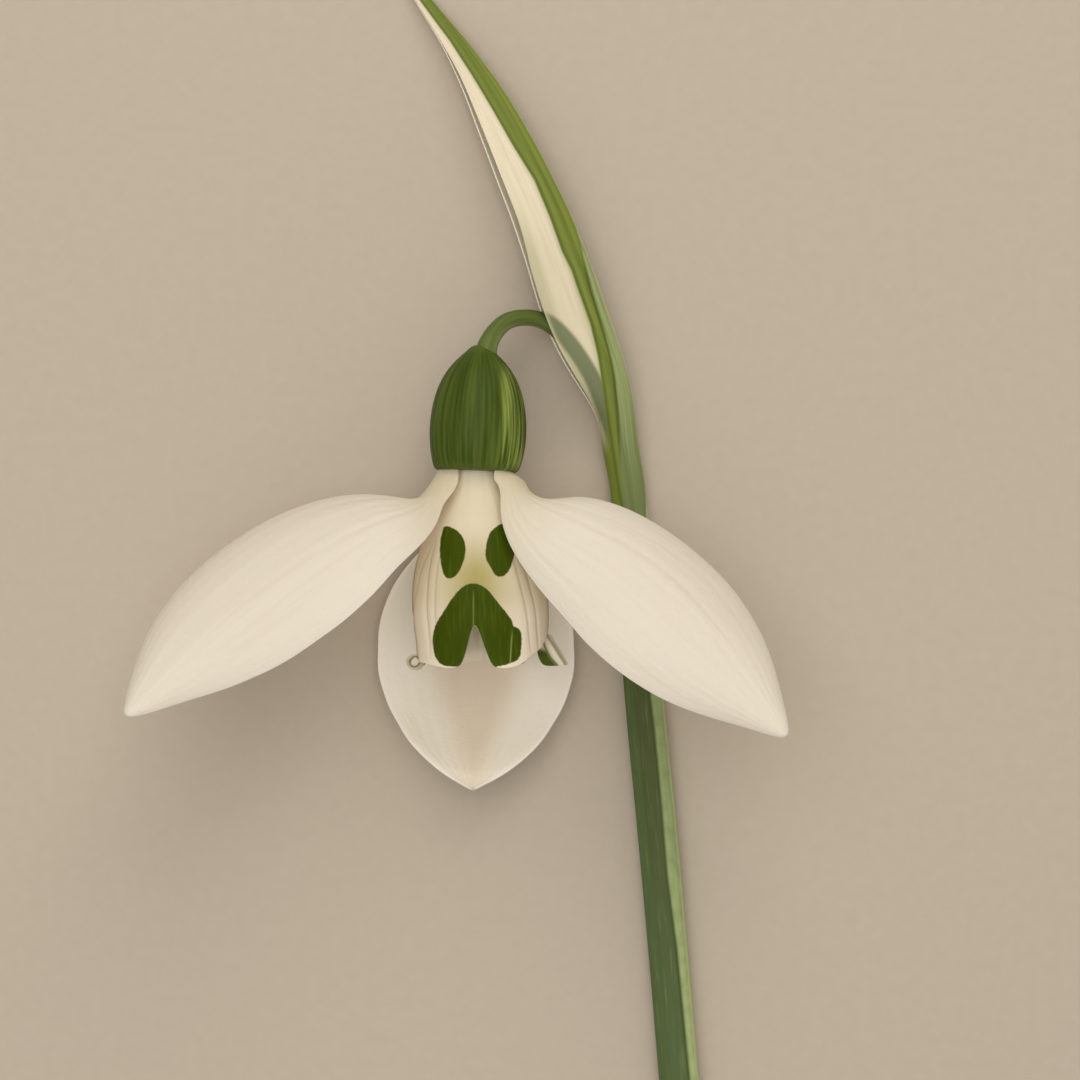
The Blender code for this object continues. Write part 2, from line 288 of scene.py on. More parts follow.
def reliefFrom(tree, shader, height, distanceMm, under=None):
    inputs = {"Height": height, "Distance": distanceMm * 0.001}
    if under:
        inputs["Normal"] = under
    bump = addNode(tree, "ShaderNodeBump", inputs).outputs[0]
    tree.links.new(bump, shader.inputs["Normal"])
    return bump


petalLook = {"blade": "#E1D8CA", "claw": "#D6CBAF", "vein": "#D2C6B3", "inside": "#FFF4E5",
             "shade": "#E8D9C4", "veinsAcross": 30.0, "veinsAlong": 2.5, "veinShare": 0.28, "veinDepth": 0.02,
             "crinklesAcross": 26.0, "crinklesAlong": 52.0, "crinkleDepth": 0.035, "clawEnd": (0.06, 0.34),
             "scatter": (1.0, 0.9, 0.75)}


def petalTissue():
    # snowdrop petal: colourless spongy tissue full of air under a waxy skin, so it is a soft
    # cream white that glows a little in depth, with faint lengthwise veins about 0.4 mm apart
    # and a fine crinkle about 0.5 mm across
    look, tree, shader, uv = startMaterial(
        "petalTissue", Roughness=0.55, IOR=1.42, Specular_IOR_Level=0.3, Subsurface_Weight=0.35,
        Subsurface_Scale=0.0007, Subsurface_Radius=petalLook["scatter"])
    grain = streaks(tree, uv, petalLook["veinsAcross"], petalLook["veinsAlong"])
    crinkle = streaks(tree, uv, petalLook["crinklesAcross"], petalLook["crinklesAlong"])
    blade = mixColour(tree, softMask(tree, alongPiece(tree, uv), *petalLook["clawEnd"]),
                      petalLook["claw"], petalLook["blade"])
    veins = product(tree, softMask(tree, grain, 0.5, 0.75), petalLook["veinShare"])
    outside = mixColour(tree, veins, blade, petalLook["vein"])
    # painted light: the inner face is painted lighter than the outer face to stand for light on its shaded
    # margins, with painted shade down the back petal's middle
    inside = mixColour(tree, "middleShade", petalLook["inside"], petalLook["shade"])
    colour = mixColour(tree, "innerFace", outside, inside)
    tree.links.new(colour, shader.inputs["Base Color"])
    fine = reliefFrom(tree, shader, crinkle, petalLook["crinkleDepth"])
    reliefFrom(tree, shader, grain, petalLook["veinDepth"], under=fine)
    return look


markLook = {"white": "#E5DAC4", "deep": "#3A4700", "bright": "#465A04", "tint": "#A79A58",
            "foldShadeColour": "#A8957A", "inside": "#4E5F12", "pale": "#8C9A55",
            "edge": 0.05, "wobble": 0.1, "wobblesAcross": 45.0, "cellsAcross": 60.0, "cellDepth": 0.015}


def markedPetalTissue():
    # the same tissue on the inner petals, with leaf-green cells in sharply bounded patches
    look, tree, shader, uv = startMaterial(
        "markedPetalTissue", Roughness=0.6, IOR=1.42, Specular_IOR_Level=0.12, Subsurface_Weight=0.1,
        Subsurface_Scale=0.0004, Subsurface_Radius=petalLook["scatter"])
    cells = streaks(tree, uv, markLook["cellsAcross"], 5.0)
    white = mixColour(tree, "yellowTint", markLook["white"], markLook["tint"])
    # painted shade: the pleats, the front petal's two margins and the rolled corner are painted darker where
    # shade falls
    foldShaded = mixColour(tree, "foldShade", white, markLook["foldShadeColour"])
    green = mixColour(tree, softMask(tree, cells, 0.45, 0.8), markLook["deep"], markLook["bright"])
    green = mixColour(tree, "paleLine", green, markLook["pale"])
    wobble = speckle(tree, uv, markLook["wobblesAcross"], 2.0)
    wavered = {0: wobble, 1: markLook["wobble"], 2: maskNamed(tree, "markDistance")}
    distance = addNode(tree, "ShaderNodeMath", wavered, operation="MULTIPLY_ADD").outputs[0]
    middle = markLook["wobble"] / 2.0
    marked = softMask(tree, distance, middle + markLook["edge"], middle - markLook["edge"])
    outerFace = addNode(tree, "ShaderNodeMath", {0: 1.0, 1: maskNamed(tree, "innerFace")},
                        operation="SUBTRACT").outputs[0]
    colour = mixColour(tree, product(tree, marked, outerFace), foldShaded, green)
    striped = product(tree, maskNamed(tree, "innerFace"), "stripe")
    colour = mixColour(tree, striped, colour, markLook["inside"])
    tree.links.new(colour, shader.inputs["Base Color"])
    reliefFrom(tree, shader, cells, markLook["cellDepth"])
    return look


ovaryLook = {"deep": "#344408", "mid": "#3F5113", "streakAndHighlight": "#8C9A4A", "rim": "#55642A", "streakDepth": 0.025}


def ovarySkin():
    # fleshy green capsule under a smooth waxy skin: satin shine broken by fine lengthwise streaks, painted on
    # thickly down its lit side as a painted highlight
    look, tree, shader, uv = startMaterial("ovarySkin", Roughness=0.5, IOR=1.45, Specular_IOR_Level=0.15)
    broad = streaks(tree, uv, 14.0, 1.2, 2.0)
    fine = streaks(tree, uv, 75.0, 2.4, 4.0)
    ground = mixColour(tree, softMask(tree, broad, 0.35, 0.65), ovaryLook["deep"], ovaryLook["mid"])
    lit = product(tree, softMask(tree, fine, 0.36, 0.66), "streaksAndLitSide")
    streakedAndLit = mixColour(tree, lit, ground, ovaryLook["streakAndHighlight"])
    colour = mixColour(tree, "rimShade", streakedAndLit, ovaryLook["rim"])
    tree.links.new(colour, shader.inputs["Base Color"])
    reliefFrom(tree, shader, fine, ovaryLook["streakDepth"])
    return look


stalkLook = {"green": "#57652A", "mottle": "#66743A", "pale": "#85905A", "fibreDepth": 0.02}


def stalkSkin():
    # smooth juicy stalk: one green, paler along its inner bend, with a soft wax shine
    look, tree, shader, uv = startMaterial("stalkSkin", Roughness=0.48, IOR=1.45, Specular_IOR_Level=0.3)
    fine = streaks(tree, uv, 20.0, 3.0)
    ground = mixColour(tree, softMask(tree, fine, 0.4, 0.75), stalkLook["green"], stalkLook["mottle"])
    colour = mixColour(tree, "paleSide", ground, stalkLook["pale"])
    tree.links.new(colour, shader.inputs["Base Color"])
    reliefFrom(tree, shader, fine, stalkLook["fibreDepth"])
    return look


scapeLook = {"leaf": "#52643A", "olive": "#485026", "bloom": "#B0BE84", "line": "#434C22",
             "fibre": "#8A9A5E", "cut": "#B4BE8A", "pith": "#CDD3A8", "fibreShare": 0.3, "fibreDepth": 0.02}


def scapeSkin():
    # leafless stem: green flesh under a grey wax bloom that is thickest along its lit side, partly real wax
    # and partly painted light, with a painted highlight along that side's rim, a low dark edge between them
    # and fine lengthwise fibres
    look, tree, shader, uv = startMaterial("scapeSkin", Roughness=0.5, IOR=1.45, Specular_IOR_Level=0.25)
    fine = streaks(tree, uv, 34.0, 16.0, 4.0)
    mottle = streaks(tree, uv, 12.0, 60.0)
    green = mixColour(tree, "oliveBand", scapeLook["leaf"], scapeLook["olive"])
    worn = addNode(tree, "ShaderNodeMapRange", {"Value": mottle, "From Min": 0.25, "From Max": 0.6,
                                                "To Min": 0.72, "To Max": 1.0}).outputs[0]
    waxedAndLit = mixColour(tree, product(tree, worn, "bloomAndLitSide"), green, scapeLook["bloom"])
    fibres = product(tree, softMask(tree, fine, 0.5, 0.8), scapeLook["fibreShare"])
    lined = mixColour(tree, fibres, waxedAndLit, scapeLook["fibre"])
    edged = mixColour(tree, "darkLine", lined, scapeLook["line"])
    flesh = mixColour(tree, "pith", scapeLook["cut"], scapeLook["pith"])
    colour = mixColour(tree, "cutFace", edged, flesh)
    tree.links.new(colour, shader.inputs["Base Color"])
    reliefFrom(tree, shader, fine, scapeLook["fibreDepth"])
    return look


spatheLook = {"membrane": "#E6DAC0", "vein": "#D3C7A6", "thin": "#B7B18C", "litFarEdge": "#FFF6E0",
              "overStalk": "#66704A", "olive": "#7A8736", "deep": "#4F5B22", "side": "#8E9C60",
              "bloom": "#A5B07F", "edge": "#C9C79A", "groove": "#4F5A20", "sheath": "#5A6638",
              "silkShare": 0.55, "deepShare": 0.7, "fibreDepth": 0.02}


def spatheSkin():
    # spathe: two fleshy green keels joined by paper-thin, dry, silky white membranes that let
    # the flower stalk inside show through as a grey-green band
    look, tree, shader, uv = startMaterial("spatheSkin", Roughness=0.5, IOR=1.44, Specular_IOR_Level=0.25)
    fine = streaks(tree, uv, 70.0, 5.0, 4.0)
    broad = streaks(tree, uv, 26.0, 7.0, 2.0)
    silk = product(tree, softMask(tree, broad, 0.4, 0.75), spatheLook["silkShare"])
    paper = mixColour(tree, silk, spatheLook["membrane"], spatheLook["vein"])
    paper = mixColour(tree, "thinPart", paper, spatheLook["thin"])
    paper = mixColour(tree, "overStalk", paper, spatheLook["overStalk"])
    side = mixColour(tree, softMask(tree, fine, 0.4, 0.68), spatheLook["side"], spatheLook["bloom"])
    side = mixColour(tree, "lowSheath", side, spatheLook["sheath"])
    keel = mixColour(tree, "sideBand", spatheLook["olive"], side)
    deepest = product(tree, maskNamed(tree, "keelShade"), spatheLook["deepShare"])
    keel = mixColour(tree, deepest, keel, spatheLook["deep"])
    keel = mixColour(tree, "grooveLine", keel, spatheLook["groove"])
    keel = mixColour(tree, "paleEdge", keel, spatheLook["edge"])
    colour = mixColour(tree, "keel", paper, keel)
    # painted light: the far membrane's edge is painted bright although it lies in shade between the two
    # layers
    colour = mixColour(tree, "litFarEdge", colour, spatheLook["litFarEdge"])
    tree.links.new(colour, shader.inputs["Base Color"])
    reliefFrom(tree, shader, fine, spatheLook["fibreDepth"])
    return look


antherLook = {"shade": "#D08A22", "pollen": "#EBB44E", "filament": "#E4DFC4",
              "dustAcross": 70.0, "dustDepth": 0.05}


def antherPollen():
    # anther: papery orange-yellow pouches with a dusty, pollen-covered, fully matt surface
    look, tree, shader, uv = startMaterial("antherPollen", Roughness=0.85, IOR=1.4)
    dust = speckle(tree, uv, antherLook["dustAcross"], 3.0)
    pouch = mixColour(tree, softMask(tree, dust, 0.35, 0.7), antherLook["shade"], antherLook["pollen"])
    colour = mixColour(tree, "filament", pouch, antherLook["filament"])
    tree.links.new(colour, shader.inputs["Base Color"])
    reliefFrom(tree, shader, dust, antherLook["dustDepth"])
    return look


styleLook = {"pale": "#E6E6C4", "green": "#9DAA5A"}


def styleSkin():
    # style: a slim, moist, pale stalk that turns green towards its tip
    look, tree, shader, uv = startMaterial("styleSkin", Roughness=0.4, IOR=1.42)
    towardsTip = softMask(tree, alongPiece(tree, uv), 0.55, 0.05)
    colour = mixColour(tree, towardsTip, styleLook["pale"], styleLook["green"])
    tree.links.new(colour, shader.inputs["Base Color"])
    return look


tableLook = {"grains": 3600.0, "low": "#BBAF9F", "high": "#BEB2A2"}


def tablePaper():
    # uncoated paper: an even, fully matt, pale warm grey with a faint felt texture, drawn 0.8 mm
    # across so that it just shows
    look, tree, shader, uv = startMaterial("tablePaper", Roughness=0.95, IOR=1.45, Specular_IOR_Level=0.2)
    felt = speckle(tree, uv, tableLook["grains"], 2.0)
    colour = mixColour(tree, softMask(tree, felt, 0.2, 0.8), tableLook["low"], tableLook["high"])
    tree.links.new(colour, shader.inputs["Base Color"])
    return look


# outer petals

outerPetalShape = {
    # degrees of cupping to each side, from the claw to the tip; the back petal has a share of it
    "cup": [(0.0, 25.0), (0.12, 32.0), (0.3, 42.0), (0.6, 46.0), (1.0, 60.0)], "backCup": 0.6,
    "thickness": 0.4, "edge": 0.1, "rows": 200, "columns": 90, "veinCount": 11, "veinHeight": 0.011,
    "waviness": 0.07, "marginWaviness": 0.006, "channel": 0.05, "channelWidth": 0.12,
    # low creases: their place across the petal and their depth
    "creases": [(-0.52, 0.05), (-0.24, 0.07), (0.34, 0.08), (0.6, 0.04)], "creaseWidth": 0.035,
    "left": {
        "midrib": [(0.0, -2.05, 0.35, 7.5), (0.03, -2.2, -0.2, 7.7), (0.1, -2.8, -1.3, 8.6),
                   (0.24, -4.2, -2.2, 10.5), (0.48, -9.2, -3.5, 12.3), (0.75, -17.5, -9.5, 13.9),
                   (1.0, -22.75, -16.15, 15.2)],
        "width": [(0.0, 0.95), (0.08, 1.45), (0.16, 1.45), (0.26, 3.0), (0.4, 5.2), (0.55, 6.5),
                  (0.7, 6.2), (0.84, 4.3), (0.94, 2.2), (1.0, 1.1)],
        "roll": [(0.0, -50.0), (0.2, -58.0), (0.5, -48.0), (1.0, -24.0)], "side": 1},
    "right": {
        "midrib": [(0.0, 2.05, 0.35, 7.5), (0.03, 2.15, 0.0, 7.6), (0.1, 2.5, -0.6, 8.0),
                   (0.24, 3.6, -2.4, 10.0), (0.48, 9.3, -6.0, 12.1), (0.75, 15.4, -11.5, 13.9),
                   (1.0, 20.4, -17.5, 15.2)],
        "width": [(0.0, 0.95), (0.08, 1.3), (0.16, 1.25), (0.26, 2.65), (0.4, 4.6), (0.55, 5.7),
                  (0.7, 5.45), (0.84, 3.8), (0.94, 1.9), (1.0, 1.0)],
        "roll": [(0.0, -70.0), (0.2, -30.0), (0.5, -26.0), (1.0, -9.0)], "side": -1},
    "back": {
        "midrib": [(0.0, 0.0, 0.35, axisHeight - 2.3), (0.1, 0.0, -2.3, 2.3), (0.24, -0.1, -5.6, 0.75),
                   (0.48, -0.1, -11.5, 0.1), (0.75, -0.2, -17.6, 0.9), (1.0, -0.3, -21.8, 4.4)],
        "width": [(0.0, 0.9), (0.08, 1.35), (0.16, 2.4), (0.26, 4.6), (0.4, 6.6), (0.5, 6.95),
                  (0.6, 6.85), (0.7, 6.2), (0.79, 5.4), (0.87, 4.45), (0.94, 3.15), (0.98, 2.0), (1.0, 1.05)],
        "roll": [(0.0, 180.0), (0.5, 180.0), (1.0, 180.0)], "side": 1},
}


def outerPetal(which, look):
    common, own = outerPetalShape, outerPetalShape[which]
    reach = 1.0 - (1.0 - np.linspace(0.0, 1.0, common["rows"])) ** 1.25            # more rows towards the tip
    down = reach[:, None]
    middle = fromTable(own["midrib"], reach)
    forward = unit(np.gradient(middle, reach, axis=0))
    up = unit(np.array([0.0, 0.0, 1.0]) - forward[:, 2:3] * forward)
    inward = np.cross(up, forward) * own["side"]
    lean = np.radians(fromTable(own["roll"], reach))[:, None]
    outward = np.cos(lean) * up + np.sin(lean) * inward
    across = np.cross(forward, outward)
    quarter = math.pi / 2.0                         # more columns at the margins
    share = np.sin(np.linspace(-quarter, quarter, common["columns"]))[None, :]
    tipRound = np.sqrt(np.clip(1.0 - down ** 26, 0.0, 1.0)) + 0.015
    waver = ripple(np.sign(share) * 3.0, down * 22.0, 5 + own["side"])
    half = fromTable(own["width"], reach)[:, None] * tipRound * (1.0 + common["marginWaviness"] * waver)
    cup = np.radians(fromTable(common["cup"], reach))[:, None]
    if which == "back":
        cup = cup * common["backCup"]
    sideways = half * np.sin(share * cup) / cup
    depth = half * (np.cos(share * cup) - 1.0) / cup

    blade = between(down, (0.12, 0.35), (0.9, 1.0))
    veins = np.cos(share * math.pi * common["veinCount"]) * (1.0 - share ** 6)
    waves = ripple(share * 2.2, down * 7.0, 11 + len(which)) * (0.4 + share ** 2)
    relief = (common["veinHeight"] * veins + common["waviness"] * waves) * blade
    relief = relief - common["channel"] * ridge(share, common["channelWidth"]) * blade
    for place, deep in common["creases"]:
        bowed = place * (1.0 + 0.5 * (down - 0.3))
        crease = ridge(share - bowed, common["creaseWidth"]) * between(down, (0.14, 0.24), (0.4, 0.66))
        relief = relief - deep * crease
    outer = (middle[:, None, :] + across[:, None, :] * sideways[..., None]
             + outward[:, None, :] * (depth + relief)[..., None])
    body = np.sqrt(np.clip(1.0 - share ** 4, 0.0, 1.0)) * (1.0 - 0.7 * smoothStep(0.93, 1.0, down))
    thickness = common["edge"] + (common["thickness"] - common["edge"]) * body
    # a soft shade down the middle, which narrows towards the tip
    shadeHalf = 0.4 + 2.6 * (1.0 - smoothStep(0.5, 1.0, down))
    shade = 1.0 - 0.95 * smoothStep(-1.3, 1.6, np.abs(sideways) - shadeHalf)
    masks = {"middleShade": shade if which == "back" else 0.0}
    name = "outer_petal_" + which
    return sheetPiece(name, outer, thickness, masks, look, name)


# the bell of inner petals

bellShape = {
    # radius by mm below the base of the ovary
    "radius": [(-0.4, 1.45), (0.0, 1.55), (1.2, 1.9), (2.6, 2.6), (4.0, 3.4), (5.3, 4.0), (6.5, 4.38),
               (8.0, 4.62), (9.2, 4.7), (10.7, 4.62), (12.0, 4.5), (13.4, 4.48)],
    "start": -0.3, "lean": 0.034, "thickness": 0.28, "edge": 0.08, "wallRadius": 4.6,
    "notchTurn": -4.6,                              # the notch lies this many degrees off the middle line
    # how far down each part of the free edge reaches, by mm of arc from the notch, left to right
    "freeEdge": [(-8.0, 12.3), (-6.2, 12.45), (-5.4, 12.75), (-4.6, 12.93), (-4.0, 13.0), (-2.6, 13.18),
                 (-1.9, 13.24), (-1.45, 13.2), (-1.15, 13.02), (-0.9, 12.6), (-0.62, 11.85), (-0.33, 10.95),
                 (-0.14, 10.48), (0.0, 10.36), (0.14, 10.48), (0.33, 10.95), (0.62, 11.85), (0.9, 12.6),
                 (1.15, 13.02), (1.45, 13.2), (1.9, 13.24), (2.6, 13.16)],
    "wholeSide": [(4.0, 13.0), (5.5, 12.9), (8.0, 12.85)],
    "cutSide": [(3.2, 12.98), (3.6, 12.8), (4.0, 12.55), (4.6, 12.3), (5.4, 12.0), (6.0, 11.6), (6.5, 11.2),
                (7.0, 10.7), (7.4, 10.2)],
    # pleats: bearing where they begin and where they end, how deep
    "pleats": [(-57.0, -80.0, 0.6), (-49.0, -50.0, 1.0), (-39.0, -41.0, 0.75), (34.0, 46.0, 0.8),
               (44.0, 58.0, 1.0)],
    "pleatDepth": 0.13, "pleatWidth": 1.7, "channelDepth": 0.06, "waviness": 0.035, "endFlare": 0.12,
}

# outlines of the green marks, set out on the front of the bell
leftOval = [(-2.02, -3.8), (-1.3, -4.06), (-0.82, -4.6), (-0.65, -5.4), (-0.8, -6.2), (-1.13, -6.9),
            (-1.45, -7.2), (-1.8, -7.27), (-2.08, -7.05), (-2.28, -6.4), (-2.38, -5.5), (-2.35, -4.7),
            (-2.23, -4.15)]
rightOval = [(1.8, -3.62), (1.12, -4.06), (0.81, -4.66), (0.68, -5.4), (0.72, -5.95), (0.97, -6.45),
             (1.23, -6.9), (1.5, -7.15), (1.84, -7.13), (2.18, -6.85), (2.44, -6.3), (2.6, -5.6),
             (2.62, -4.9), (2.48, -4.2), (2.2, -3.75)]
forkMark = [(-0.2, -7.6), (-0.67, -7.74), (-1.07, -8.04), (-1.4, -8.44), (-1.72, -8.86), (-2.15, -9.55),
            (-2.56, -10.2), (-2.82, -10.92), (-2.86, -11.6), (-2.76, -12.3), (-2.5, -12.8), (-2.1, -13.08),
            (-1.6, -13.14), (-0.9, -13.1), (0.0, -12.9), (0.9, -13.1), (1.55, -13.12), (2.1, -13.0),
            (2.78, -12.72), (3.03, -12.2), (3.08, -11.5), (3.05, -10.95), (2.85, -10.6), (2.55, -10.45),
            (2.42, -10.05), (1.92, -9.37), (1.39, -8.71), (0.85, -8.05), (0.32, -7.7)]


def outlineDistance(x, y, outline):
    # how far a place lies outside a closed smooth outline, in mm; below zero inside it
    corners = np.array(outline + outline[:3])
    knots = np.arange(len(corners), dtype=float)
    dots = splineThrough(knots, corners, np.arange(1.0, len(outline) + 1.0, 0.125))
    distance = np.full(x.shape, 99.0)
    inside = np.zeros(x.shape, bool)
    for (x1, y1), (x2, y2) in zip(dots, np.roll(dots, -1, axis=0)):
        along = ((x - x1) * (x2 - x1) + (y - y1) * (y2 - y1)) / ((x2 - x1) ** 2 + (y2 - y1) ** 2 + 1e-12)
        along = np.clip(along, 0.0, 1.0)
        distance = np.minimum(distance, np.hypot(x - x1 - along * (x2 - x1), y - y1 - along * (y2 - y1)))
        crosses = (y1 > y) != (y2 > y)
        inside ^= crosses & (x < x1 + (y - y1) * (x2 - x1) / (y2 - y1 if y2 != y1 else 1e-12))
    return np.where(inside, -distance, distance)


def nearestMark(x, y):
    return np.min([outlineDistance(x, y, outline) for outline in (leftOval, rightOval, forkMark)], axis=0)


# each inner petal: middle bearing, degrees to its right and left margins, how far it sits outside
# the bell's wall, and how its two corners finish
innerPetals = {
    "front": {"middle": 90.0, "right": 84.0, "left": 75.0, "lift": 0.0,
              "corner": "plain", "side": "cutSide"},
    "left": {"middle": 213.0, "right": 54.0, "left": 62.0, "lift": -0.34,
             "corner": "roll", "side": "wholeSide"},
    "right": {"middle": -33.0, "right": 60.0, "left": 38.0, "lift": -0.34,
              "corner": "lip", "side": "wholeSide"},
}
cornerRoll = {"radius": 0.29, "turn": 6.1, "down": 12.9, "width": 8.0, "fade": 30.0, "flare": 0.33}
cornerLip = {"radius": 0.2, "turn": 4.6, "from": 10.6, "to": 12.9, "width": 9.0, "flare": 1.15}


def innerPetal(which, look):
    own = innerPetals[which]
    name = "inner_petal_" + which
    front = which == "front"
    rows, columns = (210, 228) if front else (150, 170)
    turn = np.linspace(own["right"], -own["left"], columns)[None, :]     # degrees rightwards of the middle
    notchTurn = bellShape["notchTurn"] * front
    length = fromTable(bellShape["freeEdge"] + bellShape[own["side"]],
                       np.radians(turn - notchTurn) * bellShape["wallRadius"])
    wound = np.zeros_like(length)
    if own["corner"] == "roll":                     # the free edge winds up outwards at this corner
        wound = smoothStep(own["right"] - cornerRoll["fade"], own["right"] - cornerRoll["width"], turn)
    start = bellShape["start"]
    straight = cornerRoll["down"] * wound + length * (1.0 - wound) - start
    total = straight + cornerRoll["radius"] * cornerRoll["turn"] * wound
    run = total * (1.0 - (1.0 - np.linspace(0.0, 1.0, rows)[:, None]) ** 1.2)
    winding = np.maximum(run - straight, 0.0) / cornerRoll["radius"]
    below = start + np.minimum(run, straight) + cornerRoll["radius"] * np.sin(winding)
    flat = np.minimum(below, start + straight)
    flare = 0.11 + cornerRoll["flare"] * np.exp(-(own["right"] - turn) / 8.0)
    outwards = cornerRoll["radius"] * (1.0 - np.cos(winding)) + flare * wound * smoothStep(11.6, 12.9, flat)

    radius = fromTable(bellShape["radius"], flat) * (1.0 - 0.02 * np.sin(np.radians(turn)) * front)
    radius = radius + own["lift"] * smoothStep(0.5, 3.5, flat)
    pleat = np.zeros_like(flat)
    for begin, end, depth in bellShape["pleats"]:
        place = begin + (end - begin) * (flat - 6.0) / 5.0
        pleat = pleat + depth * np.exp(-np.abs(turn - place) / bellShape["pleatWidth"])
    pleat = np.clip(pleat, 0.0, 1.2) * between(flat, (4.0, 6.5), (11.2, 12.9))
    channel = ridge(turn - notchTurn, 3.0) * smoothStep(3.0, 7.0, flat)
    radius = radius - bellShape["pleatDepth"] * pleat - bellShape["channelDepth"] * channel
    radius = radius + bellShape["waviness"] * ripple(np.radians(turn) * 5.0, flat * 0.8, 31 + len(name))
    radius = radius + bellShape["endFlare"] * smoothStep(12.2, 13.3, flat) ** 2 + outwards
    bearing = np.radians(own["middle"] - turn)
    x = radius * np.cos(bearing)
    z = radius * np.sin(bearing)
    if own["corner"] == "lip":                      # the margin flares out and curls back on itself
        inLip = smoothStep(-own["left"] + cornerLip["width"], -own["left"], turn)
        nearMargin = smoothStep(-own["left"] + 34.0, -own["left"], turn)
        down = smoothStep(cornerLip["from"], cornerLip["to"] + 0.6, flat) ** 1.3
        curl = cornerLip["radius"] * (0.35 + 0.65 * smoothStep(10.4, 12.4, flat))
        curl = curl * smoothStep(9.0, 10.8, flat)
        curlTurn = inLip * cornerLip["turn"]
        x = x + cornerLip["flare"] * down * nearMargin ** 2 + curl * (1.0 - np.cos(curlTurn))
        z = z + curl * np.sin(curlTurn) + 0.25 * down * nearMargin
        # painted shade: dark green lines along both edges of the curl stand for its shaded outline; past the
        # lip the inner face is painted dark green, partly its green stripes and partly painted shade
        curlShadeLines = (ridge(curlTurn - 0.35, 0.45) + ridge(curlTurn - 2.35, 0.3)) * (inLip > 0.0)
        curlShadeLines = curlShadeLines * smoothStep(9.5, 10.8, flat)
        shadedPastLip = smoothStep(11.9, 12.3, flat) * (inLip == 0.0) * (turn < 0.0)
        curlShadeLines = np.clip(curlShadeLines + shadedPastLip, 0.0, 1.0)
    x = x + bellShape["lean"] * flat
    outer = np.stack([x, -below, z + axisHeight], axis=-1)

    margin = np.minimum(turn + own["left"], own["right"] - turn)
    body = smoothStep(0.0, 7.0, margin) * (0.25 + 0.75 * smoothStep(0.0, 0.8, total - run))
    thickness = bellShape["edge"] + (bellShape["thickness"] - bellShape["edge"]) * body
    across = radius * np.sin(np.radians(turn)) + bellShape["lean"] * flat
    # the two side petals carry the same marks, squeezed about their own middle
    spread = turn * innerPetals["front"]["right"] / np.where(turn > 0.0, own["right"], own["left"])
    acrossMarks = across if front else radius * np.sin(np.radians(spread))
    # painted shade along the front petal's two margins, standing for the dark gap beside them
    marginShade = (ridge(turn + own["left"], 4.5) + ridge(own["right"] - turn, 8.0)) * front
    marginShade = marginShade * smoothStep(5.0, 7.0, flat)
    fineRight = np.interp(flat, [10.0, 13.2], [2.5, 2.3])
    tint = 0.78 * ridge(across - 0.05, 2.1) * between(flat, (3.4, 7.4), (8.6, 11.5))
    middleLine = 0.5 * ridge(across + 0.12, 0.045) * smoothStep(7.8, 8.8, flat)
    rightLine = 0.8 * ridge(across - fineRight, 0.05) * smoothStep(10.4, 11.4, flat)
    innerLines = (0.5 + 0.5 * np.cos(np.radians(spread) * 22.0)) ** 1.2
    innerLines = np.maximum(innerLines, smoothStep(10.5, 11.8, flat)) * smoothStep(1.5, 4.0, flat)
    masks = {
        "markDistance": np.where(winding > 0.0, 9.0, nearestMark(acrossMarks, -flat)),
        "foldShade": np.clip(0.36 * pleat + 0.9 * marginShade + 0.25 * (winding > 0.3), 0.0, 1.0),
        "yellowTint": tint + 0.16 * between(flat, (-0.3, 1.5), (8.0, 10.0)),
        "paleLine": middleLine + rightLine,
        "stripe": innerLines * (1.0 - smoothStep(30.0, 38.0, np.abs(spread))),
    }
    if own["corner"] == "roll":                     # the roll's own edge is painted dark green and brown, painted shade that outlines it
        rollEdgeShade = (winding > 0.2) * smoothStep(own["right"] - 2.5, own["right"] - 0.8, turn)
        masks["stripe"] = np.maximum(masks["stripe"] * (1.0 - wound), 0.8 * rollEdgeShade)
        masks["foldShade"] = np.maximum(masks["foldShade"], rollEdgeShade)
    if own["corner"] == "lip":
        # the curl's painted shade lines go into the green of the inner face
        masks["stripe"] = np.maximum(masks["stripe"], curlShadeLines)
    return sheetPiece(name, outer, thickness, masks, look, name)


# ovary, stamens and style: bodies turned about their own length

def turnedRings(profile, rows, columns, section):   # profile: place along the length, radius
    place = np.linspace(0.0, 1.0, rows)
    line = splineThrough(np.linspace(0.0, 1.0, len(profile)), profile, place)
    angle = fullTurn(columns)
    out = np.maximum(line[:, 1], 0.004)[:, None] * section(angle, place[:, None])
    length = np.broadcast_to(line[:, 0:1], out.shape)
    return np.stack([out * np.cos(angle), out * np.sin(angle), length], axis=-1)


ovaryShape = {"profile": [(-0.05, 0.0), (-0.12, 1.4), (-0.1, 2.5), (0.18, 2.9), (0.8, 3.08), (1.7, 3.22),
                          (2.8, 3.27), (4.0, 3.17), (5.2, 2.91), (6.3, 2.45), (7.2, 1.83), (7.8, 1.24),
                          (8.15, 0.88), (8.38, 0.62), (8.48, 0.34)],
              "droop": 3.0, "lean": 2.0, "rows": 150, "columns": 160, "lobes": 0.006, "ribs": 0.0022}


